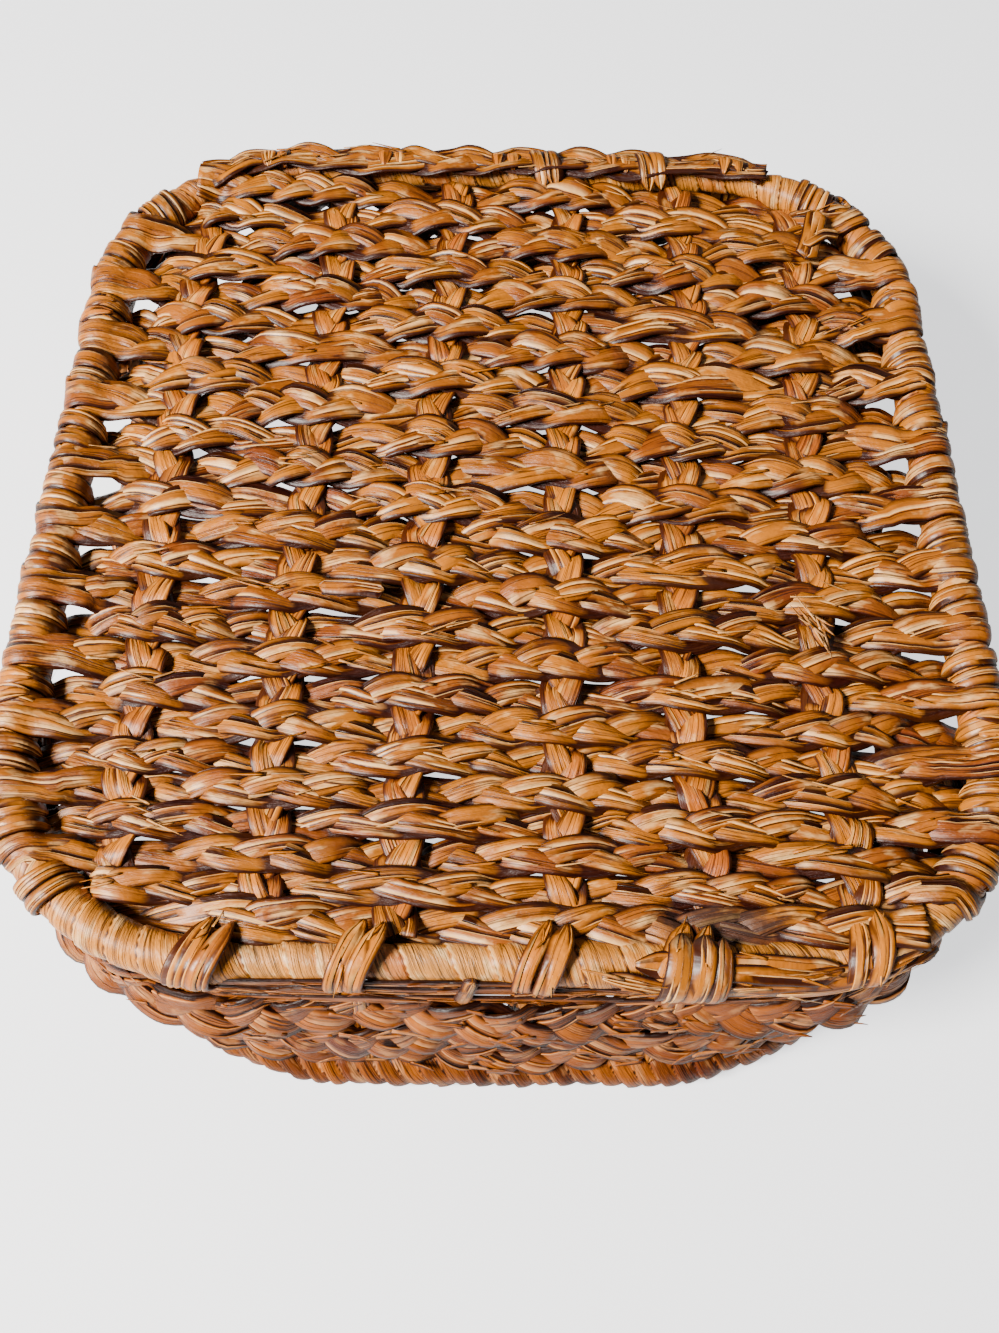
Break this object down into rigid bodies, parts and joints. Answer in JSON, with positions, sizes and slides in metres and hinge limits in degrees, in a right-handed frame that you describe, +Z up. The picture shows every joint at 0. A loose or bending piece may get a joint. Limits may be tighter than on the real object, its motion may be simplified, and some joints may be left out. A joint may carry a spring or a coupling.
{
  "type": "woven basket carrier",
  "caption": "Low square basket carrier of plaited leaf on two wrapped wire rings, lying base up on its mouth, with a long open hand grip under the base rail in each side.",
  "frame": {"origin": "middle of the flat underside of the mouth rim, which the basket stands on when it lies base up", "axes": "+Z up, from the mouth to the base; +Y to the back, along the base's longer side; +X to the right, along the plaited rows"},
  "size_m": [0.3605, 0.4084, 0.0995],
  "materials": {
    "row_plait": "dry plaited leaf strip, satin, with fine lengthwise fibres and dark creases",
    "stake_leaf": "smooth leaf strip wound lengthwise, satin",
    "rail_leaf": "leaf strip wound round a wire, ridged at each turn",
    "rim_leaf": "leaf strip wound slantwise round a wire",
    "wall_plait": "wide dry plaited leaf strip, redder and darker than the base",
    "wire": "dull galvanised wire"
  },
  "bodies": {
    "root": {"rail_wire": "wire", "rail_wrap_front": "rail_leaf", "rail_wrap_back": "rail_leaf", "rim_wire": "wire", "rim_wrap_front": "rim_leaf", "rim_wrap_back": "rim_leaf", "base_stake_1": "stake_leaf", "base_stake_2": "stake_leaf", "base_stake_3": "stake_leaf", "base_stake_4": "stake_leaf", "base_stake_5": "stake_leaf", "base_stake_6": "stake_leaf", "base_row_01": "row_plait", "base_row_02": "row_plait", "base_row_03": "row_plait", "base_row_04": "row_plait", "base_row_05": "row_plait", "base_row_06": "row_plait", "base_row_07": "row_plait", "base_row_08": "row_plait", "base_row_09": "row_plait", "base_row_10": "row_plait", "base_row_11": "row_plait", "base_row_12": "row_plait", "base_row_13": "row_plait", "base_row_14": "row_plait", "base_row_15": "row_plait", "base_row_16": "row_plait", "base_row_17": "row_plait", "base_row_18": "row_plait", "base_row_19": "row_plait", "base_row_20": "row_plait", "base_row_21": "row_plait", "base_row_22": "row_plait", "base_row_23": "row_plait", "base_row_24": "row_plait", "base_row_25": "row_plait", "front_upright_1": "stake_leaf", "front_upright_2": "stake_leaf", "front_upright_3": "stake_leaf", "front_upright_4": "stake_leaf", "front_upright_5": "stake_leaf", "back_upright_1": "stake_leaf", "back_upright_2": "stake_leaf", "back_upright_3": "stake_leaf", "back_upright_4": "stake_leaf", "back_upright_5": "stake_leaf", "left_upright_front": "stake_leaf", "left_upright_back": "stake_leaf", "right_upright_front": "stake_leaf", "right_upright_back": "stake_leaf", "front_wall_row_1": "wall_plait", "front_wall_row_2": "wall_plait", "front_wall_row_3": "wall_plait", "back_wall_row_1": "wall_plait", "back_wall_row_2": "wall_plait", "back_wall_row_3": "wall_plait"}
  },
  "joints": []
}
